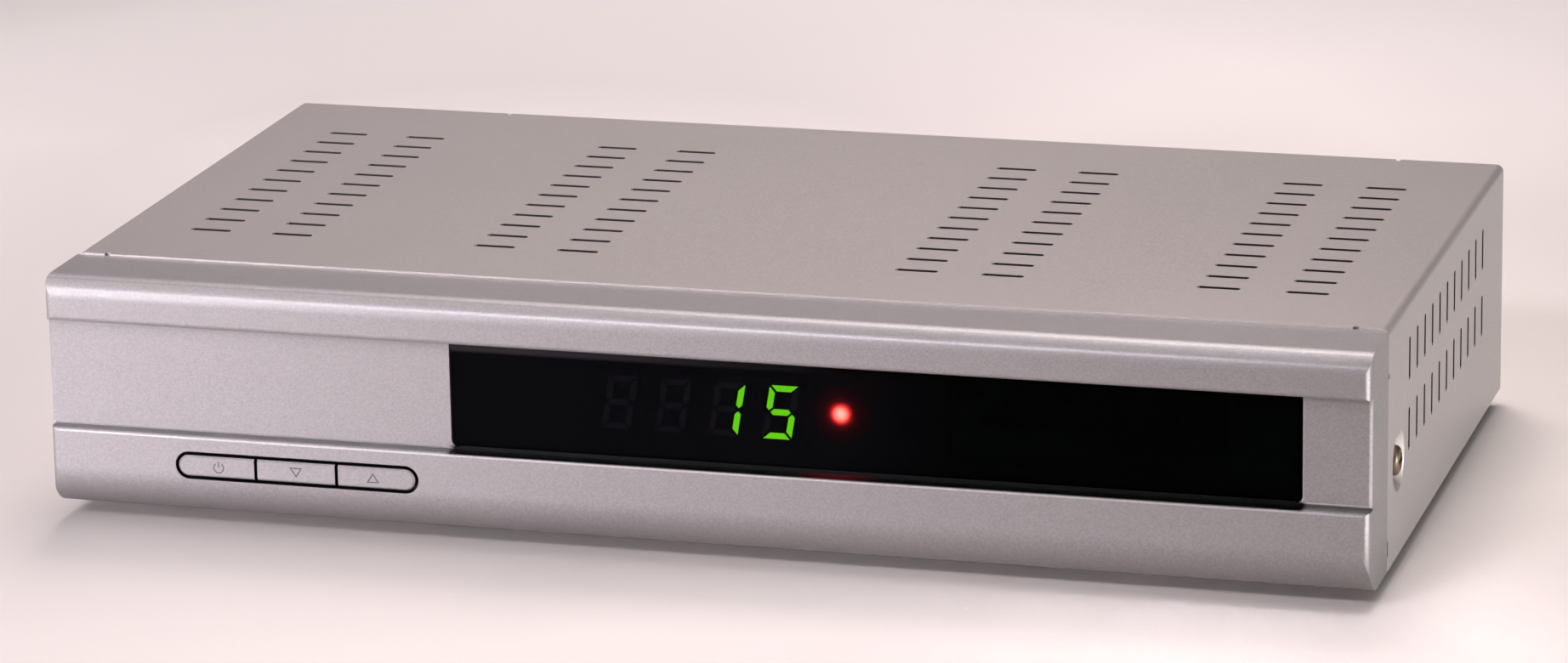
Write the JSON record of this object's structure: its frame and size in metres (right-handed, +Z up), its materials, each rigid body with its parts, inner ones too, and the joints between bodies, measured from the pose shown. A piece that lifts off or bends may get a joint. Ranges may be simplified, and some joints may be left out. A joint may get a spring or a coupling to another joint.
{
  "type": "digital television receiver",
  "caption": "Low silver set-top receiver box with a banded front moulding, smoked readout window, push keys and rear sockets.",
  "frame": {"origin": "on the standing surface, under the middle of the bounding box", "axes": "+X to the viewer's right, +Y from the front to the back, +Z up"},
  "size_m": [0.2508, 0.1484, 0.0484],
  "materials": {
    "silver_paint": "satin metallic paint on steel sheet",
    "zinc_sheet": "bare zinc-coated sheet",
    "bezel_silver": "silver-painted moulding with a fine flake",
    "foot_rubber": "matt",
    "screw_zinc": "yellow-zinc plated",
    "smoked_acrylic": "polished smoked acrylic",
    "black_plastic": "moulded",
    "green_board": "solder-masked laminate",
    "brown_board": "bare paper laminate",
    "segment_lit": "lit readout segment",
    "segment_dark": "unlit readout segment",
    "red_lamp": "lit standby lamp",
    "ivory_plastic": "nylon header",
    "grey_cable": "ribbon cable",
    "red_cable": "power lead",
    "tinned_steel": "tinned sheet",
    "nickel": "nickel plated",
    "white_plastic": "moulded",
    "yellow_plastic": "moulded",
    "red_plastic": "moulded",
    "green_plastic": "moulded",
    "blue_plastic": "moulded",
    "heat_sink_metal": "extruded, bare",
    "capacitor_sleeve": "shrink sleeve",
    "insulation_film": "translucent film",
    "fuse_glass": "glass tube with end caps",
    "copper_winding": "enamelled copper",
    "ferrite": "ferrite",
    "winding_tape": "polyester tape"
  },
  "bodies": {
    "receiver": {"top_cover": "silver_paint", "base_tray": "zinc_sheet", "board_standoffs": "tinned_steel", "front_bezel": "bezel_silver", "rubber_feet": "foot_rubber", "cover_screws": "screw_zinc", "bezel_screws": "screw_zinc", "display_window": "smoked_acrylic", "key_switches": "black_plastic", "front_board": "green_board", "readout_body": "black_plastic", "lit_segments": "segment_lit", "dark_segments": "segment_dark", "standby_lamp": "red_lamp", "lamp_spacer": "black_plastic", "remote_receiver": "black_plastic", "cable_headers": "ivory_plastic", "front_cable": "grey_cable", "power_cable": "red_cable", "main_board": "green_board", "board_screws": "screw_zinc", "tuner_can": "tinned_steel", "aerial_sockets": "nickel", "aerial_insulators": "white_plastic", "av_jack_block": "black_plastic", "component_jack_block": "black_plastic", "jack_shells": "nickel", "yellow_jack_collar": "yellow_plastic", "white_jack_collar": "white_plastic", "red_jack_collars": "red_plastic", "green_jack_collar": "green_plastic", "blue_jack_collar": "blue_plastic", "serial_port": "tinned_steel", "serial_insert": "black_plastic", "serial_posts": "nickel", "decoder_chip": "black_plastic", "decoder_heat_sink": "heat_sink_metal", "memory_chips": "black_plastic", "crystal": "tinned_steel", "main_capacitors": "capacitor_sleeve", "power_board": "brown_board", "insulation_sheet": "insulation_film", "mains_inlet": "black_plastic", "inlet_pins": "nickel", "fuse_clips": "tinned_steel", "fuse": "fuse_glass", "line_choke": "copper_winding", "bridge_rectifier": "black_plastic", "bulk_capacitor": "capacitor_sleeve", "transformer_core": "ferrite", "transformer_winding": "winding_tape", "power_heat_sink": "heat_sink_metal", "power_transistor": "black_plastic", "output_capacitors": "capacitor_sleeve"},
    "power_key": {"power_button": "bezel_silver", "power_plunger": "black_plastic"},
    "channel_down_key": {"channel_down_button": "bezel_silver", "channel_down_plunger": "black_plastic"},
    "channel_up_key": {"channel_up_button": "bezel_silver", "channel_up_plunger": "black_plastic"}
  },
  "joints": [
    {"name": "power_press", "type": "slide", "parent": "receiver", "child": "power_key", "axis": [0, 1, 0], "range_m": [0, 0.0005], "stiffness_N_per_m": 1500},
    {"name": "channel_down_press", "type": "slide", "parent": "receiver", "child": "channel_down_key", "axis": [0, 1, 0], "range_m": [0, 0.0005], "stiffness_N_per_m": 1500},
    {"name": "channel_up_press", "type": "slide", "parent": "receiver", "child": "channel_up_key", "axis": [0, 1, 0], "range_m": [0, 0.0005], "stiffness_N_per_m": 1500}
  ]
}
